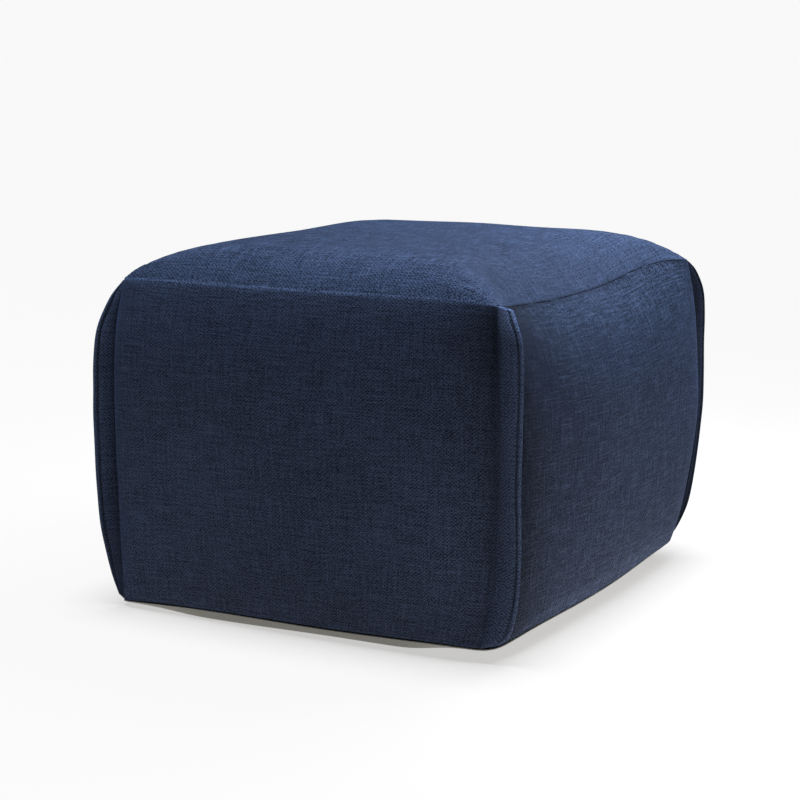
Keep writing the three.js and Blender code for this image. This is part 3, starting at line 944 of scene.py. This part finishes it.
def linenMaterial():
    material, start, shader = newMaterial("navy slub linen", linen["constants"])
    u, v = clothPlace(start)
    drift = streaks(start, u, v, linen["drift"]) * linen["driftReach"]
    across = (u + drift) * (math.pi / linen["warpPitch"])
    upward = (v - drift) * (math.pi / linen["weftPitch"])
    weave = start.math("SINE", across) * start.math("SINE", upward)
    weft, warp, fuzz, nubs, patches = (
        streaks(start, u, v, linen[key]) for key in ("weft", "warp", "fuzz", "nubs", "patches"))
    lumps = [start.math("MAXIMUM", streaks(start, u, v, linen[key]) - linen["thickFrom"], 0)
             for key in ("thickWeft", "thickWarp")]
    thick = (lumps[0] + lumps[1]) * linen["thickGain"] - linen["thickMean"]
    # How much stronger the slubs are than on a plain panel, partly painted relief shade where light grazes
    extra = start.node("ShaderNodeAttribute", {"attribute_name": "slubAndReliefShade"}, {}, "Fac") - 1

    shade = linen["middle"] + weave * linen["weaveTone"] + patches * linen["patchTone"]
    for streak, key in ((weft, "weftTone"), (warp, "warpTone"), (fuzz, "fuzzTone"), (nubs, "nubTone"),
                        (thick, "thickTone")):
        plain, rise = linen[key]
        shade = shade + streak * (plain + extra * rise)
    dyed = shade.clamp(0, 1).mix(linen["dark"], linen["light"])
    # The cloth's colour is multiplied by the painted light and shade of each point
    tone = start.node("ShaderNodeAttribute", {"attribute_name": "tone"}, {}, "Fac")
    colourWithPaintedShading = start.node("ShaderNodeVectorMath", {"operation": "SCALE"}, {0: dyed, "Scale": tone})
    join(colourWithPaintedShading, shader, "Base Color")
    join((linen["rough"] - shade * linen["roughFall"]).clamp(linen["leastRough"], 1), shader, "Roughness")

    height = linen["middle"] + weave * linen["weaveHeight"] + fuzz * linen["fuzzHeight"]
    height = height + weft * linen["weftHeight"] + warp * linen["warpHeight"]
    addRelief(start, shader, linen, height)
    return material


greyCloth = {"pitch": 0.0009, "dark": (0.13, 0.124, 0.108, 1), "light": (0.235, 0.226, 0.198, 1),
             "weft": (60, 900, 0.0, 2.0), "warp": (900, 60, 5.0, 2.0),  # streaks, as in the linen
             "middle": 0.5, "weaveTone": 0.15, "threadTone": 0.6, "bump": 0.4, "bumpHeight": 0.0003,
             "constants": {"Roughness": 0.95, "Specular IOR Level": 0.2, "Sheen Weight": 0.1}}


def greyMaterial():
    material, start, shader = newMaterial("grey base cloth", greyCloth["constants"])
    u, v = clothPlace(start)
    step = math.pi / greyCloth["pitch"]
    weave = start.math("SINE", u * step) * start.math("SINE", v * step)
    threads = streaks(start, u, v, greyCloth["weft"]) + streaks(start, u, v, greyCloth["warp"])
    shade = greyCloth["middle"] + weave * greyCloth["weaveTone"] + threads * greyCloth["threadTone"]
    join(shade.clamp(0, 1).mix(greyCloth["dark"], greyCloth["light"]), shader, "Base Color")
    addRelief(start, shader, greyCloth, shade)
    return material


threadLook = {"dark": (0.002, 0.003, 0.006, 1), "light": (0.011, 0.015, 0.027, 1),
              "grain": 900.0, "detail": 2.0, "rough": 0.55, "roughRise": 0.3,
              "constants": {"Specular IOR Level": 0.1}}


def threadMaterial():
    material, start, shader = newMaterial("navy sewing thread", threadLook["constants"])
    place = start.node("ShaderNodeTexCoord", {}, {}, "Object")
    settings = {"Vector": place, "Scale": threadLook["grain"], "Detail": threadLook["detail"]}
    grain = start.node("ShaderNodeTexNoise", {}, settings)
    join(grain.mix(threadLook["dark"], threadLook["light"]), shader, "Base Color")
    join(threadLook["rough"] + grain * threadLook["roughRise"], shader, "Roughness")
    return material


navyLinen, greyBase, navyThread = linenMaterial(), greyMaterial(), threadMaterial()
finishes = [(band, navyLinen, "navy_linen"), (top, navyLinen, "navy_linen")]
finishes += [(under, greyBase, "grey_base_cloth")] + [(row, navyThread, "navy_linen") for row in stitches]
for piece, material, slot in finishes:
    piece.data.materials.append(material)
    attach(piece, "root")
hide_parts("filled_body", *(corner["node"] for corner in corners))
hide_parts("top_panel")
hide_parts("base_panel")
print("materials on all pieces")

# Studio: a pale floor with a glow of its own, a broad soft light from above and the photo's camera
studio = {
    "floorSize": 300.0, "floorDrop": 0.0005, "floorGlow": 0.945, "floorOwn": 0.55, "worldLight": 0.06,
    "keyHeight": 3, "keyPower": 9.6, "keyAngle": 30, "keyTilt": (2, 1, 0),  # degrees about X, Y and Z
    "keyColour": (0.83, 1.0, 1.23), "whiteColour": (1, 1, 1),
    "panels": [  # place, what it faces, size, power, colour: one over the back right, two under the floor
        ((0.38, 0.48, 0.95), (0, 0, 0.36), (0.7, 0.7), 14.0, "keyColour"),
        ((0.45, -0.05, -0.02), (0.45, -0.05, 1.0), (0.36, 0.9), 5.6, "whiteColour"),
        ((-0.25, -0.55, -0.02), (-0.25, -0.55, 1.0), (1.0, 0.6), 3.9, "whiteColour"),
    ],
}
bpy.ops.mesh.primitive_plane_add(size=studio["floorSize"], location=(0, 0, -studio["floorDrop"]))
floor = bpy.context.object
floor.name = "floor"
# The floor is dull and takes the key light's blue back, so that it is seen pale and plain
keyLight = np.array(studio["keyColour"]) * studio["keyPower"] / math.pi + studio["worldLight"]
floorColour = list((studio["floorGlow"] - studio["floorOwn"]) / keyLight) + [1]
floorLook = {"Base Color": floorColour, "Roughness": 1.0, "Specular IOR Level": 0,
             "Emission Color": (1, 1, 1, 1), "Emission Strength": studio["floorOwn"]}
floor.data.materials.append(newMaterial("pale floor", floorLook)[0])
floor.visible_shadow = False  # the light off the floor comes from under it

world = bpy.data.worlds.new("studio")
bpy.context.scene.world = world
world.use_nodes = True
sky = world.node_tree.nodes["Background"]
sky.inputs["Color"].default_value = (1, 1, 1, 1)
start = Socket(world.node_tree, sky.outputs[0])
seen = start.node("ShaderNodeLightPath", {}, {}, "Is Camera Ray")
glow = studio["worldLight"] + seen * (studio["floorGlow"] - studio["worldLight"])  # as the far floor
world.node_tree.links.new(glow.socket, sky.inputs["Strength"])

bpy.ops.object.light_add(type="SUN", location=(0, 0, studio["keyHeight"]))
key = bpy.context.object
key.data.energy = studio["keyPower"]
key.data.color = studio["keyColour"]
key.data.angle = math.radians(studio["keyAngle"])
key.rotation_euler = [math.radians(turn) for turn in studio["keyTilt"]]
for place, facing, size, power, colour in studio["panels"]:
    bpy.ops.object.light_add(type="AREA", location=place)
    panel = bpy.context.object
    panel.data.shape = "RECTANGLE"
    panel.data.size, panel.data.size_y = size
    panel.data.energy = power
    panel.data.color = studio[colour]
    panel.rotation_euler = (Vector(place) - Vector(facing)).to_track_quat("Z", "Y").to_euler()

camera = {"azimuth": 28.77, "elevation": 11.31, "distance": 2.19, "aim": (0, 0, 0.1714),
          "focalPixels": 1909, "aimPixel": (412.3, 434.7), "imageSize": 800, "sensor": 36}
azimuth, elevation = math.radians(camera["azimuth"]), math.radians(camera["elevation"])
level = math.cos(elevation)
towards = Vector((math.sin(azimuth) * level, -math.cos(azimuth) * level, math.sin(elevation)))
bpy.ops.object.camera_add(location=Vector(camera["aim"]) + towards * camera["distance"])
eye = bpy.context.object
eye.rotation_euler = towards.to_track_quat("Z", "Y").to_euler()
eye.data.sensor_width = camera["sensor"]
eye.data.lens = camera["focalPixels"] * camera["sensor"] / camera["imageSize"]
eye.data.shift_x = (camera["imageSize"] / 2 - camera["aimPixel"][0]) / camera["imageSize"]
eye.data.shift_y = (camera["aimPixel"][1] - camera["imageSize"] / 2) / camera["imageSize"]
bpy.context.scene.camera = eye
bpy.context.scene.view_settings.view_transform = "Standard"
